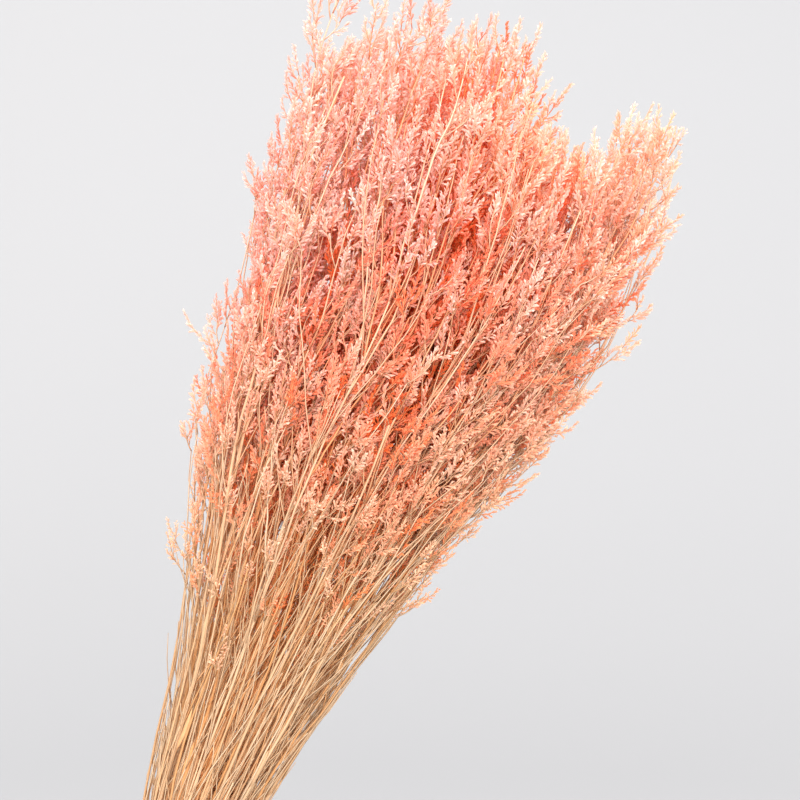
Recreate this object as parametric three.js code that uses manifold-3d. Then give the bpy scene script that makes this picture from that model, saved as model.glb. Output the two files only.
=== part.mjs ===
// Dried love grass in a vase: a full bunch of dyed sea-lavender sprays in a plain ceramic bottle vase.
// Millimetres, +Z up. The origin is the centre of the vase's foot. The bunch leans and fans out to +X.
//
// The bunch fills a curved trumpet from the vase's floor to its ragged top. A place in it is a point on
// a disc, which says which stem, and a level, 0 at the vase's floor and 1 above the longest tips. Every
// spray grows inside its own cell of the disc, so that no two sprays cross.

import * as THREE from 'three';
import { mergeVertices } from 'three/addons/utils/BufferGeometryUtils.js';
import Module from 'manifold-3d';

const wasm = await Module();
wasm.setup();

// Vase
const VASE_HEIGHT = 160;
const VASE_WALL = 4.5;
const VASE_FLOOR = 7;
const VASE_SIDES = 32;
const VASE_PROFILE = [
  // outer radius, height
  [50, 2],
  [65, 30],
  [68, 62],
  [56, 98],
  [36, 122],
  [29, 140],
  [31.5, 158],
];

// Bunch
const SPRAY_COUNT = 34;
const CROWDING = 0.93;
const SEAT_GAP = 0.3;
const CELL_GAP = 0.45;
const STATIONS = [
  // left edge x, z, right edge x, z, half depth
  [-42, VASE_FLOOR + SEAT_GAP, -14, VASE_FLOOR + SEAT_GAP, 13.5],
  [-31, 84, 3, 84, 16.5],
  [-16.5, 160, 24.5, 160, 20],
  [-5, 232, 65, 232, 30],
  [10, 302, 107, 293, 42],
  [16, 370, 154, 352, 60],
  [22, 439, 202, 408, 78],
  [42, 507, 247, 469, 89],
  [58, 576, 277, 538, 94],
  [84, 640, 292, 611, 90],
  [102, 704, 303, 682, 82],
];

// Spray
const STEM_FOOT_RADIUS = 1.35;
const STEM_TIP_RADIUS = 0.8;
const TWIG_RADIUS = 0.75;
const EAR_RADIUS = 1.5;
const FLORET_REACH = 7;
const FLORET_RISE = 1.25;
const BRANCH_COUNT = 5;
const LOWEST_BRANCH = 0.4;
const EAR_LENGTH = 0.13;
const BARE_SHARE = 0.45;
const TURNED_STEMS = { 1: 1, 9: 2, 10: 1, 12: 1 }; // radians that a stem is turned on by
const STEM_WHORLS = 5;
const BRANCH_WHORLS = 4;

const GOLDEN_ANGLE = Math.PI * (3 - Math.sqrt(5));

// One seeded draw between 0 and 1, the same on every run.
function draw(spray, number) {
  const value = Math.sin((spray + 1) * 127.1 + number * 311.7) * 43758.5453;
  return value - Math.floor(value);
}

const edgeCurve = (points) => new THREE.CatmullRomCurve3(points, false, 'catmullrom', 0.5);
const leftEdge = edgeCurve(STATIONS.map(([x, z, , , depth]) => new THREE.Vector3(x, depth, z)));
const rightEdge = edgeCurve(STATIONS.map(([, , x, z, depth]) => new THREE.Vector3(x, depth, z)));

// The world point of a place on the disc, at a level.
function worldPoint(place, level) {
  const left = leftEdge.getPoint(level);
  const right = rightEdge.getPoint(level);
  const share = (1 + place.x) / 2;
  return new THREE.Vector3(
    THREE.MathUtils.lerp(left.x, right.x, share),
    place.y * left.y,
    THREE.MathUtils.lerp(left.z, right.z, share),
  );
}

// How many millimetres one disc radius is, along the lean and across it.
function discSize(level) {
  const left = leftEdge.getPoint(level);
  const right = rightEdge.getPoint(level);
  return new THREE.Vector2(Math.hypot(right.x - left.x, right.z - left.z) / 2, left.y);
}

// The stems stand like sunflower seeds, with the outermost one on the side of the lean.
const seeds = Array.from({ length: SPRAY_COUNT }, (_, i) => {
  const radius = CROWDING * Math.sqrt((i + 0.5) / SPRAY_COUNT);
  const angle = (i - SPRAY_COUNT + 1) * GOLDEN_ANGLE;
  return new THREE.Vector2(radius * Math.cos(angle), radius * Math.sin(angle));
});

// How far a spray's cell reaches from its seed in a direction, up to the bunch's own edge.
function cellReach(spray, direction) {
  const seed = seeds[spray];
  const along = seed.dot(direction);
  let reach = -along + Math.sqrt(along * along + 1 - seed.lengthSq());
  seeds.forEach((other, i) => {
    const apart = other.clone().sub(seed);
    const towards = apart.dot(direction);
    if (i !== spray && towards > 1e-6) reach = Math.min(reach, apart.lengthSq() / 2 / towards);
  });
  return reach;
}

// A place held inside the spray's cell, less the gap between neighbours.
function heldInCell(spray, place, level) {
  const seed = seeds[spray];
  const offset = place.clone().sub(seed);
  const distance = offset.length();
  if (distance < 1e-9) return place.clone();
  const gap = CELL_GAP / Math.min(...discSize(level).toArray());
  const limit = cellReach(spray, offset.clone().normalize()) - gap;
  return seed.clone().addScaledVector(offset, Math.min(1, limit / distance));
}

// A three-sided shoot through rows of {place, level, radius}. Above each row with florets three of them
// stand out, and the next row is turned by half a side, so that the florets alternate up the ear.
function shootGeometry(spray, rows, turn) {
  const positions = [];
  const faces = [];
  const vertex = (row, angle, reach) => {
    const size = discSize(row.level);
    const out = new THREE.Vector2((reach * Math.cos(angle)) / size.x, (reach * Math.sin(angle)) / size.y);
    const place = heldInCell(spray, row.place.clone().add(out), row.level);
    positions.push(...worldPoint(place, row.level).toArray());
    return positions.length / 3 - 1;
  };

  let angle = turn;
  const rings = rows.slice(0, -1).map((row) => {
    const ring = [0, 1, 2].map((side) => vertex(row, angle + (side * 2 * Math.PI) / 3, row.radius));
    if (row.florets) angle += Math.PI / 3;
    return ring;
  });
  const tip = vertex(rows.at(-1), 0, 0);

  angle = turn;
  faces.push([rings[0][2], rings[0][1], rings[0][0]]);
  rings.forEach((ring, k) => {
    const next = rings[k + 1];
    for (let side = 0; side < 3; side++) {
      const [a, b] = [ring[side], ring[(side + 1) % 3]];
      if (!next) {
        faces.push([a, b, tip]);
      } else if (rows[k].florets) {
        const level = THREE.MathUtils.lerp(rows[k].level, rows[k + 1].level, FLORET_RISE);
        const middle = angle + ((side + 0.5) * 2 * Math.PI) / 3;
        const floretTip = vertex({ place: rows[k + 1].place, level }, middle, rows[k].florets);
        const c = next[side];
        faces.push([a, b, floretTip], [b, c, floretTip], [c, a, floretTip], [b, next[(side + 1) % 3], c]);
      } else {
        faces.push([a, b, next[(side + 1) % 3]], [a, next[(side + 1) % 3], next[side]]);
      }
    }
    if (rows[k].florets) angle += Math.PI / 3;
  });

  const geometry = new THREE.BufferGeometry();
  geometry.setAttribute('position', new THREE.Float32BufferAttribute(positions, 3));
  geometry.setIndex(faces.flat());
  return geometry;
}

function solid(geometry) {
  const bare = geometry.clone();
  bare.deleteAttribute('normal');
  bare.deleteAttribute('uv');
  const merged = mergeVertices(bare, 1e-4);
  return new wasm.Manifold(new wasm.Mesh({
    numProp: 3,
    vertProperties: merged.attributes.position.array,
    triVerts: new Uint32Array(merged.index.array),
  }));
}

function geometryOf(manifold) {
  const { vertProperties, triVerts } = manifold.getMesh();
  const geometry = new THREE.BufferGeometry();
  geometry.setAttribute('position', new THREE.BufferAttribute(vertProperties, 3));
  geometry.setIndex(new THREE.BufferAttribute(triVerts, 1));
  geometry.computeVertexNormals();
  return geometry;
}

// Where a spray's stem is at a level: its seed, with a slow sway that dies out at the vase.
function stemPlace(spray, level) {
  const sway = 0.045 * THREE.MathUtils.smoothstep(level, 0.2, 0.6);
  const phase = 2 * Math.PI * draw(spray, 1);
  return seeds[spray].clone().add(
    new THREE.Vector2(Math.cos(phase + 9 * level), Math.sin(phase + 7 * level)).multiplyScalar(sway));
}

// The levels at which a spray's branches leave its stem, from the lowest up.
function branchStarts(spray, top) {
  const highest = top - EAR_LENGTH - 0.02;
  return Array.from({ length: BRANCH_COUNT }, (_, k) =>
    THREE.MathUtils.lerp(LOWEST_BRANCH, highest, (k + 0.5 * draw(spray, 10 + k)) / (BRANCH_COUNT - 0.5)));
}

function stem(spray, top) {
  const levels = [0, 0.08, 0.15, 0.21, 0.28, 0.35, ...branchStarts(spray, top)];
  const rows = levels.map((level) => ({
    place: stemPlace(spray, level),
    level,
    radius: THREE.MathUtils.lerp(STEM_FOOT_RADIUS, STEM_TIP_RADIUS, level / top),
  }));
  for (let k = 0; k <= STEM_WHORLS; k++) {
    const level = top - EAR_LENGTH * (1 - k / STEM_WHORLS);
    const florets = FLORET_REACH * (1 - 0.5 * k / STEM_WHORLS);
    rows.push({ place: stemPlace(spray, level), level, radius: EAR_RADIUS, florets });
  }
  return shootGeometry(spray, rows, 2 * Math.PI * draw(spray, 7) + (TURNED_STEMS[spray] ?? 0));
}

function branch(spray, number, top) {
  const start = branchStarts(spray, top)[number];
  const length = Math.min(0.15 + 0.04 * draw(spray, 20 + number), top - start);
  const angle = 2 * Math.PI * draw(spray, 3) + number * GOLDEN_ANGLE;
  const direction = new THREE.Vector2(Math.cos(angle), Math.sin(angle));
  const spread = 0.8 * cellReach(spray, direction);
  const row = (share, radius, florets) => {
    const level = start + share * length;
    const out = spread * Math.sin((share * Math.PI) / 2);
    return { place: stemPlace(spray, level).addScaledVector(direction, out), level, radius, florets };
  };
  const rows = [row(0, 0.4), row(0.14, TWIG_RADIUS), row(BARE_SHARE, TWIG_RADIUS, FLORET_REACH)];
  for (let k = 1; k <= BRANCH_WHORLS; k++) {
    const share = THREE.MathUtils.lerp(BARE_SHARE, 1, k / BRANCH_WHORLS);
    rows.push(row(share, EAR_RADIUS, FLORET_REACH * (1 - 0.5 * k / BRANCH_WHORLS)));
  }
  return shootGeometry(spray, rows, angle);
}

// The level of a spray's tip. The tallest stand in the middle, and they fall away towards the lean.
function tipLevel(spray) {
  const seed = seeds[spray];
  const fall = 0.04 * THREE.MathUtils.smoothstep(seed.x, 0, 0.6) + 0.02 * seed.lengthSq();
  return 0.945 - fall + 0.06 * (draw(spray, 4) - 0.5);
}

function spray(number) {
  const top = tipLevel(number);
  const shoots = [stem(number, top)];
  for (let k = 0; k < BRANCH_COUNT; k++) shoots.push(branch(number, k, top));
  return geometryOf(wasm.Manifold.union(shoots.map(solid)));
}

function vase() {
  const drawn = VASE_PROFILE.map((row) => new THREE.Vector2(...row));
  const outside = new THREE.SplineCurve(drawn).getPoints(9);
  const inside = outside
    .filter((p) => p.y > 20 && p.y < 140)
    .map((p) => new THREE.Vector2(p.x - VASE_WALL, p.y))
    .reverse();
  const footRadius = outside[0].x;
  const lipRadius = outside.at(-1).x;
  const profile = [
    new THREE.Vector2(0, 0),
    new THREE.Vector2(footRadius - 2, 0),
    ...outside,
    new THREE.Vector2(lipRadius - 2.5, VASE_HEIGHT),
    new THREE.Vector2(lipRadius - 6, VASE_HEIGHT - 1),
    ...inside,
    new THREE.Vector2(footRadius - 2, VASE_FLOOR + 3),
    new THREE.Vector2(footRadius - 6, VASE_FLOOR),
    new THREE.Vector2(0, VASE_FLOOR),
  ];
  const turned = new THREE.LatheGeometry(profile, VASE_SIDES);
  turned.rotateX(Math.PI / 2);
  return turned;
}

const vaseFinish = new THREE.MeshStandardMaterial({ color: '#ece7df', roughness: 0.55, metalness: 0 });
const dyedFinish = new THREE.MeshStandardMaterial({ color: '#f0a58c', roughness: 0.9, metalness: 0 });

const loveGrassInVase = new THREE.Group();
const vaseMesh = new THREE.Mesh(geometryOf(solid(vase())), vaseFinish);
vaseMesh.name = 'vase';
loveGrassInVase.add(vaseMesh);

for (let i = 0; i < SPRAY_COUNT; i++) {
  const mesh = new THREE.Mesh(spray(i), dyedFinish);
  mesh.name = `spray_${String(i + 1).padStart(2, '0')}`;
  loveGrassInVase.add(mesh);
}

export default loveGrassInVase;
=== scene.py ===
# Dried, dyed love grass in a stoneware vase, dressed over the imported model.
# Metres, +Z up, with the vase's foot at the origin.

import math
import random

import bmesh
import bpy
import numpy as np
from mathutils import Matrix, Vector


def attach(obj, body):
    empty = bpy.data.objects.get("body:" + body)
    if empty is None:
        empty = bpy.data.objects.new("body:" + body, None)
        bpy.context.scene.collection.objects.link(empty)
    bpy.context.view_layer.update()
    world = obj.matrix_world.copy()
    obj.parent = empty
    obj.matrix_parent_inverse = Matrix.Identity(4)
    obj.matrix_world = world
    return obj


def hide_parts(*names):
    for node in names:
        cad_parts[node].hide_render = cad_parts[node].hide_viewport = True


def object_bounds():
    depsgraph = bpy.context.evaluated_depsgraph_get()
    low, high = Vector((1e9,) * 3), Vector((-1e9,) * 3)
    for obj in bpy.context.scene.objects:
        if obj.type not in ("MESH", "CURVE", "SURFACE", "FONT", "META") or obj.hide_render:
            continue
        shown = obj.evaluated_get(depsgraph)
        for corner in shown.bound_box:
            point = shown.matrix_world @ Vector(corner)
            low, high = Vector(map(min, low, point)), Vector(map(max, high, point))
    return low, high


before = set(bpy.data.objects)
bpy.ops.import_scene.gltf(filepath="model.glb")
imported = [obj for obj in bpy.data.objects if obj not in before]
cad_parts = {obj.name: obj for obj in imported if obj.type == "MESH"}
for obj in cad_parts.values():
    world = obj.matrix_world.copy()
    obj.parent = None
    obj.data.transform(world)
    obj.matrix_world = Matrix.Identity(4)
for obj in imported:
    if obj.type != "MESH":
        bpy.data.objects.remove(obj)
cad_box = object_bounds()


# Vase
# One hollow piece of wheel-thrown stoneware, with a flat foot, a round belly, a narrow neck and a small lip.
# It was dipped in a satin off-white glaze, which leaves faint throwing rings showing and a few iron specks.

VASE_WALL = 0.0045
VASE_FLOOR = 0.007
VASE_STEPS = 128
VASE_LINE_POINTS = 44
VASE_PROFILE = [
    # outer radius, height, in millimetres
    (50, 2), (64.8, 30), (67.3, 62), (55.8, 98), (36, 122), (29, 140), (31.5, 158),
]


def spline_points(points, t):
    """Points along a smooth, evenly timed spline through rows of coordinates, t from 0 to 1."""
    points = np.asarray(points, float)
    padded = np.vstack([2 * points[0] - points[1], points, 2 * points[-1] - points[-2]])
    along = np.clip(np.asarray(t, float), 0, 1) * (len(points) - 1)
    first = np.minimum(along.astype(int), len(points) - 2)
    w = (along - first)[:, None]
    before, start, end, after = (padded[first + k] for k in range(4))
    slope_in, slope_out = (end - before) / 2, (after - start) / 2
    return (start + slope_in * w + (3 * (end - start) - 2 * slope_in - slope_out) * w**2
            + (2 * (start - end) + slope_in + slope_out) * w**3)


def linear(hex_colour):
    """An sRGB hex colour as linear RGBA."""
    parts = [int(hex_colour[i : i + 2], 16) / 255 for i in (1, 3, 5)]
    return (*[c / 12.92 if c <= 0.04045 else ((c + 0.055) / 1.055) ** 2.4 for c in parts], 1.0)


def add_node(tree, kind, links=(), inputs=(), **settings):
    """Adds a node with its properties and input values, and links (input, socket) pairs into it."""
    node = tree.nodes.new(kind)
    for key, value in settings.items():
        setattr(node, key, value)
    for key, value in dict(inputs).items():
        node.inputs[key].default_value = value
    for key, socket in links:
        tree.links.new(socket, node.inputs[key])
    return node


def new_material(name):
    """A material that holds only its shader and output."""
    material = bpy.data.materials.new(name)
    material.use_nodes = True
    return material, material.node_tree, material.node_tree.nodes["Principled BSDF"]


def spun(name, line, steps):
    """A closed, smooth object turned from a line of radius and height."""
    turned = bmesh.new()
    profile = [turned.verts.new((x, 0, z)) for x, z in line]
    edges = [turned.edges.new(pair) for pair in zip(profile, profile[1:])]
    bmesh.ops.spin(turned, geom=profile + edges, cent=(0, 0, 0), axis=(0, 0, 1), angle=math.tau,
                   steps=steps, use_merge=True)
    bmesh.ops.remove_doubles(turned, verts=turned.verts, dist=1e-6)
    bmesh.ops.recalc_face_normals(turned, faces=turned.faces)
    for face in turned.faces:
        face.smooth = True
    mesh = bpy.data.meshes.new(name)
    turned.to_mesh(mesh)
    turned.free()
    turned_object = bpy.data.objects.new(name, mesh)
    bpy.context.scene.collection.objects.link(turned_object)
    return turned_object


outside = spline_points(VASE_PROFILE, np.linspace(0, 1, VASE_LINE_POINTS)) / 1000
rim_radius = outside[-1][0]
inside = [(x - VASE_WALL, z) for x, z in outside if 0.020 < z < 0.140][::-1]
vase = spun("stoneware_vase", [
    (0, 0.0012), (0.040, 0.0012), (0.042, 0), (0.047, 0), (0.049, 0.0008), *outside,
    (rim_radius - 0.0004, 0.1592), (rim_radius - 0.0014, 0.1598), (rim_radius - 0.0028, 0.16),
    (rim_radius - 0.0044, 0.1597), (rim_radius - 0.0056, 0.1588), (rim_radius - 0.0062, 0.157), *inside,
    (0.048, VASE_FLOOR + 0.003), (0.044, VASE_FLOOR), (0, VASE_FLOOR),
], VASE_STEPS)

# Satin stoneware glaze, dipped: a soft gloss over an oatmeal white, a little darker where it thins on the
# throwing rings. The rings stand 9 mm apart and the iron specks are under a millimetre wide. Both are faint.
RING_SPACING = 0.009
WAVES_PER_UNIT = 3.2
SPECK_SPACING = 0.0045
glaze, tree, shader = new_material("satin_glazed_stoneware")
place = add_node(tree, "ShaderNodeTexCoord").outputs["Object"]
cloud = add_node(tree, "ShaderNodeTexNoise", [("Vector", place)], {"Scale": 22, "Detail": 4})
rings = add_node(tree, "ShaderNodeTexWave", [("Vector", place)],
                 {"Scale": 1 / (RING_SPACING * WAVES_PER_UNIT), "Distortion": 1.2,
                  "Detail": 2, "Detail Scale": 0.6},
                 bands_direction="Z")
thin = add_node(tree, "ShaderNodeMath", [(0, cloud.outputs["Fac"]), (1, rings.outputs["Fac"])],
                operation="MULTIPLY")
tone = add_node(tree, "ShaderNodeMix", [("Factor", thin.outputs[0])], data_type="RGBA")
tone.inputs[6].default_value = linear("#aaa296")
tone.inputs[7].default_value = linear("#9f968a")
grains = add_node(tree, "ShaderNodeTexVoronoi", [("Vector", place)], {"Scale": 1 / SPECK_SPACING})
speck = add_node(tree, "ShaderNodeMapRange", [("Value", grains.outputs["Distance"])],
                 {"From Min": 0.07, "From Max": 0.13, "To Min": 1.0, "To Max": 0.0})
colour = add_node(tree, "ShaderNodeMix", [("Factor", speck.outputs[0])], data_type="RGBA")
tree.links.new(tone.outputs[2], colour.inputs[6])
colour.inputs[7].default_value = linear("#5f4c38")
relief = add_node(tree, "ShaderNodeBump", [("Height", rings.outputs["Fac"])],
                  {"Strength": 0.10, "Distance": 0.0006})
tree.links.new(colour.outputs[2], shader.inputs["Base Color"])
tree.links.new(relief.outputs["Normal"], shader.inputs["Normal"])
shader.inputs["Roughness"].default_value = 0.38
shader.inputs["Coat Weight"].default_value = 0.15
shader.inputs["Coat Roughness"].default_value = 0.25
vase.data.materials.append(glaze)
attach(vase, "root")
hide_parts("vase")


# Bunch
# Thirty-four cut stems stand in the vase, fan out above its neck and lean to the right. A place in the bunch
# is a point on a disc and a level: the disc is carried up between the bunch's left and right outlines.

SPRAY_COUNT = 34
BUNCH_HEIGHT = 0.70
CROWDING = 0.93
SWAY = 0.045
GOLDEN_ANGLE = math.pi * (3 - math.sqrt(5))
STATIONS = np.array([
    # left edge x, z, right edge x, z, half depth, in millimetres
    [-42, 7.3, -14, 7.3, 13.5],
    [-31, 84, 3, 84, 16.5],
    [-16.5, 160, 24.5, 160, 20],
    [-5, 232, 65, 232, 30],
    [10, 302, 107, 293, 42],
    [16, 370, 154, 352, 60],
    [22, 439, 202, 408, 78],
    [42, 507, 247, 469, 89],
    [58, 576, 277, 538, 94],
    [84, 640, 292, 611, 90],
    [102, 704, 303, 682, 82],
]) / 1000


def bunch_points(places, levels):
    """World points of places on the disc, at levels from 0 at the vase's floor to 1 above the tips."""
    left_x, left_z, right_x, right_z, depth = spline_points(STATIONS, levels).T
    share = (1 + places[:, 0]) / 2
    across = left_x + (right_x - left_x) * share
    up = left_z + (right_z - left_z) * share
    return np.stack([across, places[:, 1] * depth, up], axis=1)


def draw(spray, number):
    """One seeded draw between 0 and 1, the same as the solid's."""
    value = math.sin((spray + 1) * 127.1 + number * 311.7) * 43758.5453
    return value - math.floor(value)


def smooth(x, low, high):
    """Rises from 0 at low to 1 at high with flat ends."""
    x = np.clip((x - low) / (high - low), 0, 1)
    return x * x * (3 - 2 * x)


turns = (np.arange(SPRAY_COUNT) - SPRAY_COUNT + 1) * GOLDEN_ANGLE
radii = CROWDING * np.sqrt((np.arange(SPRAY_COUNT) + 0.5) / SPRAY_COUNT)
seeds = np.stack([radii * np.cos(turns), radii * np.sin(turns)], axis=1)


def cell_reach(spray, turn):
    """How far a spray's own cell of the disc reaches from its stem in a direction."""
    direction = np.array([math.cos(turn), math.sin(turn)])
    seed = seeds[spray]
    along = seed @ direction
    reach = -along + math.sqrt(along * along + 1 - seed @ seed)
    apart = np.delete(seeds, spray, axis=0) - seed
    towards = apart @ direction
    facing = towards > 1e-6
    return min(reach, (np.sum(apart[facing] ** 2, axis=1) / 2 / towards[facing]).min(initial=9.0))


def stem_places(spray, levels):
    """Where a spray's stem is on the disc at each level: its seed, with a sway, and less deep in the head."""
    levels = np.asarray(levels, float)
    phase = math.tau * draw(spray, 1)
    sway = np.stack([np.cos(phase + 9 * levels), np.sin(phase + 7 * levels)], axis=1)
    places = seeds[spray] + SWAY * smooth(levels, 0.2, 0.6)[:, None] * sway
    drawn_in = 0.04 + 0.18 * draw(spray, 2)
    places[:, 1] *= 1 - drawn_in * smooth(levels, 0.42, 0.8)
    return places


# Sprays
# Each is one cut stem of dried sea lavender: a wiry stem, thin arching side shoots, and twigs that end in
# spikes of papery florets. The dye left the wood straw below and peach above. Inside the bunch the wood is
# painted orange and the florets coral, as painted shade; where the florets stand out of it they are pale
# pink, partly faded dye and partly painted light. A spray is one mesh of bent tubes and stamped florets.

SOLID_SHOOTS = 5
FREE_SHOOTS = 8
LOW_SHOOTS = 3
FINE_SHOOTS = 24
STEM_TWIGS = 9
BRACTS = 4
STRAY_SHOOTS = [
    # spray, level it leaves from, rise, direction and reach on the disc
    (24, 0.80, 0.135, math.pi, 0.21),
    (25, 0.74, 0.13, 0.0, 0.12),
    (20, 0.72, 0.13, 0.0, 0.16),
    (12, 0.70, 0.15, 0.0, 0.30),
]
BLOOM_LEVELS = (0.40, 0.62)
STEM_RADIUS = (0.0013, 0.00045)
SHOOT_RADIUS = 0.0006
FREE_SHOOT_RADIUS = 0.00055
LOW_SHOOT_RADIUS = (0.0005, 0.0011)
FINE_SHOOT_RADIUS = 0.00052
TWIG_RADII = (0.00042, 0.00038, 0.00034, 0.0003, 0.00026)
BARE_TWIG_RADII = (0.00036, 0.0003, 0.00025, 0.00016)
SPIKE_RADII = (0.00030, 0.00026, 0.00021, 0.00014)
BRACT_RADII = (0.0004, 0.0013, 0.0018, 0.0014, 0.0002)
BRACT_FLATNESS = 0.16
KINK_KEPT = 0.72
STEM_KINK = 0.0006
SHOOT_KINK = 0.0008
FINE_KINK = 0.0009
NECK_EDGE = 0.97
FINE_EDGE = 0.96
TWIG_BOW = (0.66, 0.30)
STEM_TWIG_LENGTH = (0.016, 0.028)
SHOOT_TWIG_LENGTH = (0.014, 0.030)
FINE_TWIG_LENGTH = (0.008, 0.016)
BARE_TWIG_BOW = (0.42, 0.16)
BARE_TWIG_LENGTH = (0.018, 0.045)
BARE_TWIGS_FROM = 0.27
BARE_TWIGS_WITHIN = 0.88
BRACT_BOW = (0.26, 0.14)
BRACT_LENGTH = (0.016, 0.034)
SPIKE_BOW = (0.62, 0.30)
SPIKE_LENGTH = (0.011, 0.022)
SHOOT_END_SPIKE = 0.017
SPIKES_ON_TWIG = (0.34, 0.58, 0.82)
SIDE_SPIKE_SHARE = 0.72
FLOWERING_SHARE = 0.86
FLORET_ROW_TURN = 1.1
FLORET_LENGTH = (0.0038, 0.0058)
FLORET_STEP = 0.00083


def tube(name, sides, rings):
    """A closed tube one high, with each corner's ring and angle, to be bent along a line of points."""
    shaft = bmesh.new()
    bmesh.ops.create_cone(shaft, cap_ends=True, segments=sides, radius1=1, radius2=1, depth=1)
    upright = [e for e in shaft.edges if abs(e.verts[0].co.z - e.verts[1].co.z) > 0.5]
    bmesh.ops.subdivide_edges(shaft, edges=upright, cuts=rings - 2)
    mesh = bpy.data.meshes.new(name)
    shaft.to_mesh(mesh)
    shaft.free()
    x, y, z = np.array([v.co for v in mesh.vertices]).T
    return mesh, np.rint((z + 0.5) * (rings - 1)).astype(int), np.arctan2(y, x)


STEM_RINGS = 44
SHOOT_RINGS = 12
FINE_RINGS = 8
TWIG_RINGS = 5
SPIKE_RINGS = 4
tubes = {
    "stem": tube("stem_tube", 7, STEM_RINGS),
    "shoot": tube("shoot_tube", 4, SHOOT_RINGS),
    "fine": tube("fine_tube", 3, FINE_RINGS),
    "bract": tube("bract_tube", 6, TWIG_RINGS),
    "twig": tube("twig_tube", 3, TWIG_RINGS),
    "spike": tube("spike_tube", 3, SPIKE_RINGS),
}

# One floret, a unit long: a slender papery calyx with a slanted, three-pointed mouth. It has four faces,
# since there are so many. The mouth attribute says how near each corner is to the mouth.
FLORET_MOUTH_RADIUS = 0.19
FLORET_LOBES = (0.60, 0.80, 1.0)
floret = bmesh.new()
bmesh.ops.create_cone(floret, cap_ends=True, segments=3, radius1=FLORET_MOUTH_RADIUS, radius2=0.0, depth=1.0)
bmesh.ops.rotate(floret, verts=floret.verts, cent=(0, 0, 0), matrix=Matrix.Rotation(math.pi, 3, "X"))
bmesh.ops.translate(floret, verts=floret.verts, vec=(0, 0, 0.5))
for vertex, lobe in zip([v for v in floret.verts if v.co.z > 0.5], FLORET_LOBES):
    vertex.co.z = lobe
floret_mesh = bpy.data.meshes.new("floret")
floret.to_mesh(floret_mesh)
floret.free()
floret_shape = np.array([v.co for v in floret_mesh.vertices])
floret_rim = np.clip(floret_shape[:, 2] * 1.1, 0, 1)


def square_to(direction, turn):
    """A unit vector square to a direction, turned round it."""
    side = direction.orthogonal().normalized()
    side.rotate(Matrix.Rotation(turn, 3, direction))
    return side


WOOD_MARGIN = 0.003
TWIG_MARGIN = 0.004
BARE_TWIG_MARGIN = 0.002
FLORET_MARGIN = 0.0012


def inside_box(point, margin):
    """Whether a point is inside the solid's box by a margin."""
    return all(low + margin < value < high - margin
               for low, value, high in zip(cad_box[0], point, cad_box[1]))


def arch(root, along, outward, length, spread, bow, steps):
    """Points of a thin part that leaves its root outward, by the lean, and turns up again, by the lift."""
    lean, lift = bow
    return [root + along * (length * t) + outward * (spread * (lean * t - lift * t * t))
            for t in np.linspace(0, 1, steps).tolist()]


def at_share(points, share):
    """The place, the heading and the number of the segment at a share of a line of points."""
    last = len(points) - 2
    segment = min(int(share * (last + 1)), last)
    heading = (points[segment + 1] - points[segment]).normalized()
    return points[segment].lerp(points[segment + 1], share * (last + 1) - segment), heading, segment


def spike(spray, root, along, outward, length, light, fullness=1.0):
    """A flower spike: a twig that arches up, with florets in two close rows on its outer side."""
    rng = spray["rng"]
    length *= fullness
    points = arch(root, along, outward, length, length * rng.uniform(0.5, 1.6), SPIKE_BOW, SPIKE_RINGS)
    if not inside_box(points[-1], TWIG_MARGIN):
        return
    tint = rng.random()
    spray["wood"].append(("spike", points, SPIKE_RADII, tint, light))
    count = max(4, round(length * FLOWERING_SHARE / FLORET_STEP))
    for k in range(count):
        t = 1 - FLOWERING_SHARE + FLOWERING_SHARE * (k + rng.uniform(-0.3, 0.3)) / (count - 1)
        t = min(max(t, 0.05), 1.0)
        foot, heading, _ = at_share(points, t)
        side = (outward - heading * outward.dot(heading)).normalized()
        row_turn = FLORET_ROW_TURN if k % 2 else -FLORET_ROW_TURN
        side.rotate(Matrix.Rotation(row_turn + rng.uniform(-1.0, 1.0), 3, heading))
        lean = (0.66 - 0.38 * t * t) * rng.uniform(0.5, 1.5)
        pointing = heading * math.cos(lean) + side * math.sin(lean)
        size = rng.uniform(*FLORET_LENGTH) * (1.0 - 0.28 * t) * (0.45 + 0.55 * fullness)
        if inside_box(foot + pointing * size, FLORET_MARGIN):
            spray["florets"].append((foot, pointing, size, tint, light))


def twig(spray, root, along, outward, length, light, fullness=1.0):
    """A thin twig that arches up, with spikes to either side and one at its end."""
    rng = spray["rng"]
    points = arch(root, along, outward, length * 0.92, length, TWIG_BOW, TWIG_RINGS)
    if not inside_box(points[-1], TWIG_MARGIN):
        return
    spray["wood"].append(("twig", points, TWIG_RADII, rng.random(), light))
    # Each twig's light is shifted at random, so that some twigs' spikes are painted paler, as painted light,
    # and others deeper, as painted shade.
    light += rng.uniform(-0.22, 0.28)
    turn = rng.uniform(0, math.tau)
    for k, t in enumerate(SPIKES_ON_TWIG):
        foot, heading, _ = at_share(points, t)
        facing = square_to(heading, turn + k * GOLDEN_ANGLE + rng.uniform(-0.5, 0.5))
        spike(spray, foot, heading, facing, rng.uniform(*SPIKE_LENGTH) * SIDE_SPIKE_SHARE, light, fullness)
    heading = (points[-1] - points[-2]).normalized()
    spike(spray, points[-1], heading, square_to(heading, turn), rng.uniform(*SPIKE_LENGTH), light, fullness)


def bare_twig(spray, root, along, outward, length, light):
    """A twig that has shed its florets."""
    points = arch(root, along, outward, length, length, BARE_TWIG_BOW, SPIKE_RINGS)
    if inside_box(points[-1], BARE_TWIG_MARGIN):
        spray["wood"].append(("spike", points, BARE_TWIG_RADII, spray["rng"].random(), light))


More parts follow.
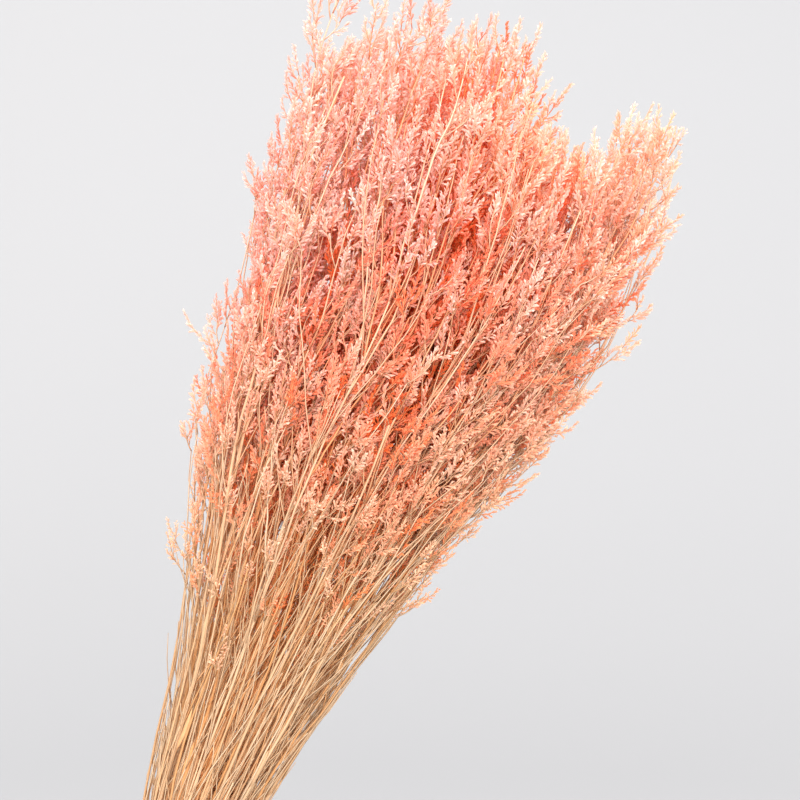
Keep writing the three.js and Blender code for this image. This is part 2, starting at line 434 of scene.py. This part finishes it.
def kinked(spray, points, step):
    """Wood that turns a little at each of its joints, where a shoot or a bract once left it."""
    rng = spray["rng"]
    offset = Vector((0, 0, 0))
    for k in range(1, len(points)):
        offset = offset * KINK_KEPT + Vector((rng.uniform(-step, step), rng.uniform(-step, step), 0))
        points[k] = Vector([min(max(value, low + WOOD_MARGIN), high - WOOD_MARGIN)
                            for value, low, high in zip(points[k] + offset, cad_box[0], cad_box[1])])
    return points


def held_in(places, widest):
    """Places on the disc, brought in where they are further out than the widest that is allowed."""
    return places * np.minimum(1, widest / np.linalg.norm(places, axis=1))[:, None]


def side_shoot(spray, start, length, turn, reach, radius, twigs, wander=0.012, widest=0.84):
    """A side shoot that leaves the stem low, arches out into its own part of the bunch and runs on up.

    Its start and length are levels, and its reach is on the disc. Low down it may come near the disc's edge.
    In the head it keeps within the widest that is given, and at the upper right within less.
    """
    rng = spray["rng"]
    shares = np.linspace(0, 1, SHOOT_RINGS)
    levels = start + shares * length
    places = stem_places(spray["number"], levels)
    sideways = (reach * np.sin(shares * math.pi / 2))[:, None]
    places = places + np.array([math.cos(turn), math.sin(turn)]) * sideways
    bend = rng.uniform(0, math.tau)
    bends = np.stack([np.cos(bend + 7 * shares), np.sin(bend + 6 * shares)], axis=1)
    places = places + wander * shares[:, None] * bends
    narrowing = smooth(levels, 0.38, 0.6) + 0.6 * smooth(levels, 0.66, 0.86) * (places[:, 0] > 0.3)
    places = held_in(places, NECK_EDGE - (NECK_EDGE - widest) * narrowing)
    points = kinked(spray, [Vector(p) for p in bunch_points(places, levels)], SHOOT_KINK)
    out = np.linalg.norm(places, axis=1)
    spray["wood"].append(("shoot", points, radius * (1 - 0.5 * shares), rng.random(), float(out.mean())))
    first = rng.uniform(0, math.tau)
    for k in range(twigs):
        share = 0.22 + 0.74 * (k + rng.uniform(0, 0.8)) / twigs
        root, along, low = at_share(points, share)
        outward = square_to(along, first + k * GOLDEN_ANGLE)
        light = float(out[low])
        level = levels[low]
        if rng.random() < np.interp(level, BLOOM_LEVELS, (0, 1)):
            fullness = 0.46 + 0.54 * float(smooth(level, 0.42, 0.60))
            twig_length = rng.uniform(*SHOOT_TWIG_LENGTH) * (1.1 - 0.35 * share)
            twig(spray, root, along, outward, twig_length, light, fullness)
        elif level > BARE_TWIGS_FROM and light < BARE_TWIGS_WITHIN:
            bare_twig(spray, root, along, outward, rng.uniform(*BARE_TWIG_LENGTH), light)
    if levels[-1] > 0.5:
        along = (points[-1] - points[-2]).normalized()
        spike(spray, points[-1], along, square_to(along, first), SHOOT_END_SPIKE, float(out[-1]))


def fine_shoot(spray, start, rise, turn):
    """A wiry shoot that crosses its neighbours at a slant, bare but for the twig at its end."""
    rng = spray["rng"]
    shares = np.linspace(0, 1, FINE_RINGS)
    levels = start + shares * rise
    left_x, _, right_x, _, _ = spline_points(STATIONS, levels[4:5])[0]
    slant = rng.uniform(0.08, 0.50) * rise * BUNCH_HEIGHT / (right_x - left_x) * 2
    sideways = (slant * (1.3 * shares - 0.3 * shares**2))[:, None]
    places = stem_places(spray["number"], levels) + np.array([math.cos(turn), math.sin(turn)]) * sideways
    places = held_in(places, FINE_EDGE)
    points = kinked(spray, [Vector(p) for p in bunch_points(places, levels)], FINE_KINK)
    out = float(np.linalg.norm(places[-1]))
    radii = FINE_SHOOT_RADIUS * (1 - 0.45 * shares)
    spray["wood"].append(("fine", points, radii, rng.uniform(0.4, 1.0), out))
    along = (points[-1] - points[-2]).normalized()
    if rng.random() < np.interp(levels[-1], BLOOM_LEVELS, (0, 1)):
        fullness = 0.44 + 0.48 * float(smooth(levels[-1], 0.42, 0.62))
        twig(spray, points[-1], along, square_to(along, turn), rng.uniform(*FINE_TWIG_LENGTH), out, fullness)


def bract(spray, root, along, outward):
    """A dry, narrow bract that stands against the stem."""
    rng = spray["rng"]
    length = rng.uniform(*BRACT_LENGTH)
    points = arch(root, along, outward, length, length, BRACT_BOW, TWIG_RINGS)
    radii = np.array(BRACT_RADII) * rng.uniform(0.7, 1.2)
    spray["wood"].append(("bract", points, radii, rng.uniform(0, 0.6), rng.uniform(0.6, 0.9)))


def top_level(spray):
    """The level at which a spray ends: lower in the right half, but for its rim, and on the left rim."""
    across = seeds[spray["number"]][0]
    top = 0.915 - 0.070 * float(smooth(across, -0.05, 0.25)) + 0.03 * float(smooth(across, 0.55, 0.85))
    ragged = 0.03 * (spray["rng"].random() - 0.5) - 0.035 * float(smooth(-across, 0.45, 0.9))
    return top + ragged


def grow(number):
    """Everything on one stem: its wood and its florets, as lines and places still to be made meshes.

    Each piece of wood and each floret also has a tint, drawn at random, and a light, which is about 0 at the
    bunch's heart and 1 at its outside and sets how much painted shade its colours take.
    """
    spray = {"number": number, "rng": random.Random(number + 1), "wood": [], "florets": []}
    rng = spray["rng"]
    top = top_level(spray)
    levels = np.linspace(0, top - 0.035, STEM_RINGS)
    points = kinked(spray, [Vector(p) for p in bunch_points(stem_places(number, levels), levels)], STEM_KINK)
    out = float(np.linalg.norm(seeds[number]))
    radii = np.linspace(*STEM_RADIUS, STEM_RINGS) * rng.uniform(0.7, 1.05)
    spray["wood"].append(("stem", points, radii, rng.random(), out))
    highest = top - 0.15
    for k in range(SOLID_SHOOTS):
        start = 0.4 + (highest - 0.4) * (k + 0.5 * draw(number, 10 + k)) / (SOLID_SHOOTS - 0.5)
        length = min(0.15 + 0.04 * draw(number, 20 + k), top - start) - 0.02
        turn = math.tau * draw(number, 3) + k * GOLDEN_ANGLE
        side_shoot(spray, start, length, turn, 0.8 * cell_reach(number, turn), SHOOT_RADIUS, 5)
    for k in range(FREE_SHOOTS):
        start = 0.28 + (highest - 0.28) * (k + rng.random()) / FREE_SHOOTS
        length = min(rng.uniform(0.13, 0.24), top - start - 0.02)
        turn = rng.uniform(0, math.tau)
        reach = rng.uniform(0.7, 1.5) * cell_reach(number, turn)
        side_shoot(spray, start, length, turn, reach, FREE_SHOOT_RADIUS, 5)
    for k in range(LOW_SHOOTS):
        start = rng.uniform(0.03, 0.22)
        length = rng.uniform(0.30, 0.60)
        turn = rng.uniform(0, math.tau)
        reach = rng.uniform(0.6, 2.6) * cell_reach(number, turn)
        side_shoot(spray, start, length, turn, reach, rng.uniform(*LOW_SHOOT_RADIUS), 6, wander=0.11)
    for k in range(FINE_SHOOTS):
        start = 0.24 + (top - 0.20 - 0.24) * ((k + rng.random()) / FINE_SHOOTS) ** 1.3
        fine_shoot(spray, start, min(rng.uniform(0.06, 0.17), top - start), rng.uniform(0, math.tau))
    for stray, start, rise, turn, reach in STRAY_SHOOTS:
        if stray == number:
            side_shoot(spray, start, rise, turn, reach, SHOOT_RADIUS, 7, widest=1.0)
    for k in range(BRACTS):
        low = rng.randrange(4, 19)
        along = (points[low + 1] - points[low]).normalized()
        bract(spray, points[low], along, square_to(along, rng.uniform(0, math.tau)))
    first = rng.uniform(0, math.tau)
    for k in range(STEM_TWIGS):
        _, along, low = at_share(points, 0.64 + 0.35 * k / (STEM_TWIGS - 1))
        length = rng.uniform(*STEM_TWIG_LENGTH) * (1.3 - 0.6 * k / (STEM_TWIGS - 1))
        twig(spray, points[low], along, square_to(along, first + k * GOLDEN_ANGLE), length, out)
    return spray


def bent(kind, points, radii):
    """A tube's corners moved to a line of points."""
    mesh, ring, angle = tubes[kind]
    points = np.array(points)
    tangents = np.gradient(points, axis=0)
    across = np.cross(tangents, (0, 1, 0))
    across /= np.linalg.norm(across, axis=1, keepdims=True)
    forth = np.cross(tangents, across)
    forth /= np.linalg.norm(forth, axis=1, keepdims=True)
    radii = np.asarray(radii)[ring][:, None]
    flatness = BRACT_FLATNESS if kind == "bract" else 1.0
    corners = points[ring] - radii * (across[ring] * np.cos(angle)[:, None]
                                      - forth[ring] * (flatness * np.sin(angle))[:, None])
    mesh.vertices.foreach_set("co", corners.ravel())
    return mesh


# Dyed dried stems: matt, fibrous straw that took the dye unevenly. It is painted cream on the bunch's outside
# and orange in its depths, as painted shade. Fibres, 0.4 mm apart and 12 mm long, streak it up and down, as
# every stem runs nearly upwards.
FIBRE_WIDTH = 0.0004
FIBRE_LENGTH = 0.012
straw, tree, shader = new_material("dyed_straw_stem")
place = add_node(tree, "ShaderNodeTexCoord").outputs["Object"]
height = add_node(tree, "ShaderNodeSeparateXYZ", [("Vector", place)]).outputs["Z"]
tint = add_node(tree, "ShaderNodeAttribute", attribute_name="tint").outputs["Fac"]
light = add_node(tree, "ShaderNodeAttribute", attribute_name="light").outputs["Fac"]
rise = add_node(tree, "ShaderNodeMapRange", [("Value", height)],
                {"From Min": 0.34, "From Max": 0.54}).outputs["Result"]
stretch = add_node(tree, "ShaderNodeMapping", [("Vector", place)],
                   {"Scale": (1 / FIBRE_WIDTH, 1 / FIBRE_WIDTH, 1 / FIBRE_LENGTH)})
fibre = add_node(tree, "ShaderNodeTexNoise", [("Vector", stretch.outputs[0])], {"Scale": 1.0, "Detail": 2})


def blend(tree, factor, low, high):
    """Mixes two colours, each a hex value or another node's socket."""
    mix = add_node(tree, "ShaderNodeMix", [("Factor", factor)], data_type="RGBA")
    for key, colour in ((6, low), (7, high)):
        if isinstance(colour, str):
            mix.inputs[key].default_value = linear(colour)
        else:
            tree.links.new(colour, mix.inputs[key])
    return mix.outputs[2]


outer = blend(tree, rise, blend(tree, tint, "#cd9966", "#e0c2a0"), blend(tree, tint, "#eca67a", "#f1ceb0"))
# Painted shade: stems deep in the bunch take these orange colours, and their light blends them with the cream
# outer ones.
inner = blend(tree, rise, blend(tree, tint, "#ffa85c", "#ffd09a"), blend(tree, tint, "#ff7030", "#ffac6e"))
painted_light_share = add_node(tree, "ShaderNodeMapRange", [("Value", light)],
                   {"From Min": 0.35, "From Max": 0.85}).outputs["Result"]
colour = blend(tree, painted_light_share, inner, outer)
fibre_shade = add_node(tree, "ShaderNodeMapRange", [("Value", fibre.outputs["Fac"])],
                       {"From Min": 0.3, "From Max": 0.7, "To Min": 0.84, "To Max": 1.03}).outputs["Result"]
shaded = add_node(tree, "ShaderNodeVectorMath", [(0, colour), ("Scale", fibre_shade)],
                  operation="SCALE").outputs[0]
tree.links.new(shaded, shader.inputs["Base Color"])
shader.inputs["Roughness"].default_value = 0.75
shader.inputs["Specular IOR Level"].default_value = 0.3

# Dyed papery florets: matt and thin, pale at the mouth and deeper at the base. Inside the bunch they are
# painted deep coral and orange, partly dye that kept its colour and partly painted shade, and they are paler
# toward the crown. Light comes through the thin walls and takes their colour. The lowest florets took hardly
# any dye, and the right-hand ones turned peach.
PATCH_SIZE = 0.055
LET_THROUGH = 0.46
paper, tree, shader = new_material("dyed_papery_floret")
place = add_node(tree, "ShaderNodeTexCoord").outputs["Object"]
tint = add_node(tree, "ShaderNodeAttribute", attribute_name="tint").outputs["Fac"]
light = add_node(tree, "ShaderNodeAttribute", attribute_name="light").outputs["Fac"]
mouth = add_node(tree, "ShaderNodeAttribute", attribute_name="mouth").outputs["Fac"]
patch = add_node(tree, "ShaderNodeTexNoise", [("Vector", place)],
                 {"Scale": 1 / PATCH_SIZE, "Detail": 1}).outputs["Fac"]
position = add_node(tree, "ShaderNodeSeparateXYZ", [("Vector", place)])
height = position.outputs["Z"]
drift = add_node(tree, "ShaderNodeMath", [(0, position.outputs["X"]), (2, patch)], {1: 2.6},
                 operation="MULTIPLY_ADD").outputs[0]
warm = add_node(tree, "ShaderNodeMapRange", [("Value", drift)],
                {"From Min": 0.78, "From Max": 1.20}).outputs["Result"]
# Painted light share: florets further out, and toward the crown, take the pale colours; those deep in the
# bunch take the deep ones, partly as painted shade.
crown = add_node(tree, "ShaderNodeMapRange", [("Value", height)],
                 {"From Min": 0.50, "From Max": 0.63, "To Max": 0.62}).outputs["Result"]
nearer = add_node(tree, "ShaderNodeMath", [(0, light), (1, crown)], operation="ADD").outputs[0]
painted_light_share = add_node(tree, "ShaderNodeMapRange", [("Value", nearer)],
                   {"From Min": 0.49, "From Max": 0.93}).outputs["Result"]
pale_mouth = blend(tree, tint, blend(tree, warm, "#fbcec3", "#fbd9bb"), "#fdeee8")
pale_base = blend(tree, tint, blend(tree, warm, "#fc9674", "#fdc088"), "#fdd2ba")
# Deep colours for florets inside the bunch: partly dye that kept its colour, partly painted shade.
deep_mouth = blend(tree, tint, "#ff8846", "#ffac78")
deep_base = blend(tree, tint, "#ff4a04", "#ff681c")
deep = blend(tree, mouth, deep_base, deep_mouth)
dyed = blend(tree, painted_light_share, deep, blend(tree, mouth, pale_base, pale_mouth))
undyed = add_node(tree, "ShaderNodeMapRange", [("Value", height)],
                  {"From Min": 0.52, "From Max": 0.37, "To Max": 0.8}).outputs["Result"]
colour = blend(tree, undyed, dyed, blend(tree, painted_light_share, "#ffa862", "#fedcb8"))
tree.links.new(colour, shader.inputs["Base Color"])
shader.inputs["Roughness"].default_value = 0.85
shader.inputs["Specular IOR Level"].default_value = 0.2
through = add_node(tree, "ShaderNodeBsdfTranslucent", [("Color", colour)])
thin_wall = add_node(tree, "ShaderNodeMixShader", [(1, shader.outputs[0]), (2, through.outputs[0])],
                     {0: LET_THROUGH})
tree.links.new(thin_wall.outputs[0], tree.nodes["Material Output"].inputs["Surface"])

for number in range(SPRAY_COUNT):
    spray = grow(number)
    name = f"dyed_spray_{number + 1:02d}"
    whole = bmesh.new()
    tints, lights, counts, mouths = [], [], [], []
    for kind, points, radii, tint, light in spray["wood"]:
        whole.from_mesh(bent(kind, points, radii))
        tints.append(tint)
        lights.append(light)
        counts.append(len(tubes[kind][1]))
        mouths.append(np.zeros(counts[-1]))
    wood_faces = len(whole.faces)
    for root, pointing, size, tint, light in spray["florets"]:
        placed = (Matrix.Translation(root) @ pointing.to_track_quat("Z", "Y").to_matrix().to_4x4()
                  @ Matrix.Rotation(spray["rng"].uniform(0, math.tau), 4, "Z")
                  @ Matrix.Diagonal((size, size * spray["rng"].uniform(0.7, 1.0), size, 1)))
        floret_mesh.transform(placed)
        whole.from_mesh(floret_mesh)
        floret_mesh.vertices.foreach_set("co", floret_shape.ravel())
        tints.append(min(max(tint * 0.85 + spray["rng"].random() * 0.3 - 0.07, 0), 1))
        lights.append(light)
        counts.append(len(floret_shape))
        mouths.append(floret_rim)
    mesh = bpy.data.meshes.new(name)
    whole.to_mesh(mesh)
    whole.free()
    for key, values in (("tint", np.repeat(tints, counts)), ("light", np.repeat(lights, counts)),
                        ("mouth", np.concatenate(mouths))):
        mesh.attributes.new(key, "FLOAT", "POINT").data.foreach_set("value", values)
    mesh.materials.append(straw)
    mesh.materials.append(paper)
    slots = np.ones(len(mesh.polygons), int)
    slots[:wood_faces] = 0
    mesh.polygons.foreach_set("material_index", slots)
    mesh.polygons.foreach_set("use_smooth", slots == 0)
    piece = bpy.data.objects.new(name, mesh)
    bpy.context.scene.collection.objects.link(piece)
    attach(piece, "root")
    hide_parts(f"spray_{number + 1:02d}")
bpy.data.meshes.remove(floret_mesh)
for mesh, ring, angle in tubes.values():
    bpy.data.meshes.remove(mesh)


# Studio
# A matt, off-white painted cove, one sheet from floor to wall all round, so that no line crosses the picture.
# A wide, low front light carries most of the picture, a firmer key light stands on its right, as in the
# photograph, and weaker ones fill from the left and from behind.

COVE_FLAT = 1.3
COVE_BEND = 2.3
COVE_HEIGHT = 2.6
COVE_STEPS = 96
SUN_AWAY = 3
bend = [(COVE_FLAT + COVE_BEND * math.sin(a), COVE_BEND * (1 - math.cos(a)))
        for a in np.linspace(0, math.pi / 2, 24)]
cove = spun("cove", [(0, 0), *bend, (COVE_FLAT + COVE_BEND, COVE_HEIGHT)], COVE_STEPS)
cove.data.flip_normals()
cove_paint, tree, shader = new_material("matt_cove_paint")
shader.inputs["Base Color"].default_value = linear("#979798")
shader.inputs["Roughness"].default_value = 0.9
shader.inputs["Specular IOR Level"].default_value = 0.0
cove.data.materials.append(cove_paint)
cove.visible_shadow = False

for name, power, softness, azimuth, elevation, colour in (
        # watts a square metre, then degrees
        ("key_light", 2.0, 16, 44, 34, "#fffaf5"),
        ("front_light", 3.2, 40, -4, 9, "#ffffff"),
        ("side_light", 0.8, 60, -70, 30, "#ffffff"),
        ("back_light", 2.0, 60, 190, 50, "#ffffff")):
    sun = bpy.data.lights.new(name, "SUN")
    sun.energy = power
    sun.angle = math.radians(softness)
    sun.color = linear(colour)[:3]
    lamp = bpy.data.objects.new(name, sun)
    round_by, up_by = math.radians(azimuth), math.radians(elevation)
    towards = Vector((math.sin(round_by) * math.cos(up_by), -math.cos(round_by) * math.cos(up_by),
                      math.sin(up_by)))
    lamp.location = towards * SUN_AWAY
    lamp.rotation_euler = towards.to_track_quat("Z", "Y").to_euler()
    bpy.context.scene.collection.objects.link(lamp)

world = bpy.data.worlds.new("studio_air")
world.use_nodes = True
world.node_tree.nodes["Background"].inputs["Color"].default_value = linear("#f8f8fa")
world.node_tree.nodes["Background"].inputs["Strength"].default_value = 1.75
bpy.context.scene.world = world


# Camera
# The photograph looks level at the bunch from about a metre away, and cuts the vase off below its frame.

CAMERA_AWAY = 1.0
PICTURE_SIDE = 0.430
PICTURE_CENTRE = Vector((0.1344, 0.0, 0.447))
SENSOR_WIDTH = 36
camera_data = bpy.data.cameras.new("camera")
camera_data.sensor_width = SENSOR_WIDTH
camera_data.lens = SENSOR_WIDTH * CAMERA_AWAY / PICTURE_SIDE
camera = bpy.data.objects.new("camera", camera_data)
camera.location = PICTURE_CENTRE - Vector((0, CAMERA_AWAY, 0))
camera.rotation_euler = (math.pi / 2, 0, 0)
bpy.context.scene.collection.objects.link(camera)
bpy.context.scene.camera = camera
bpy.context.scene.view_settings.view_transform = "Standard"
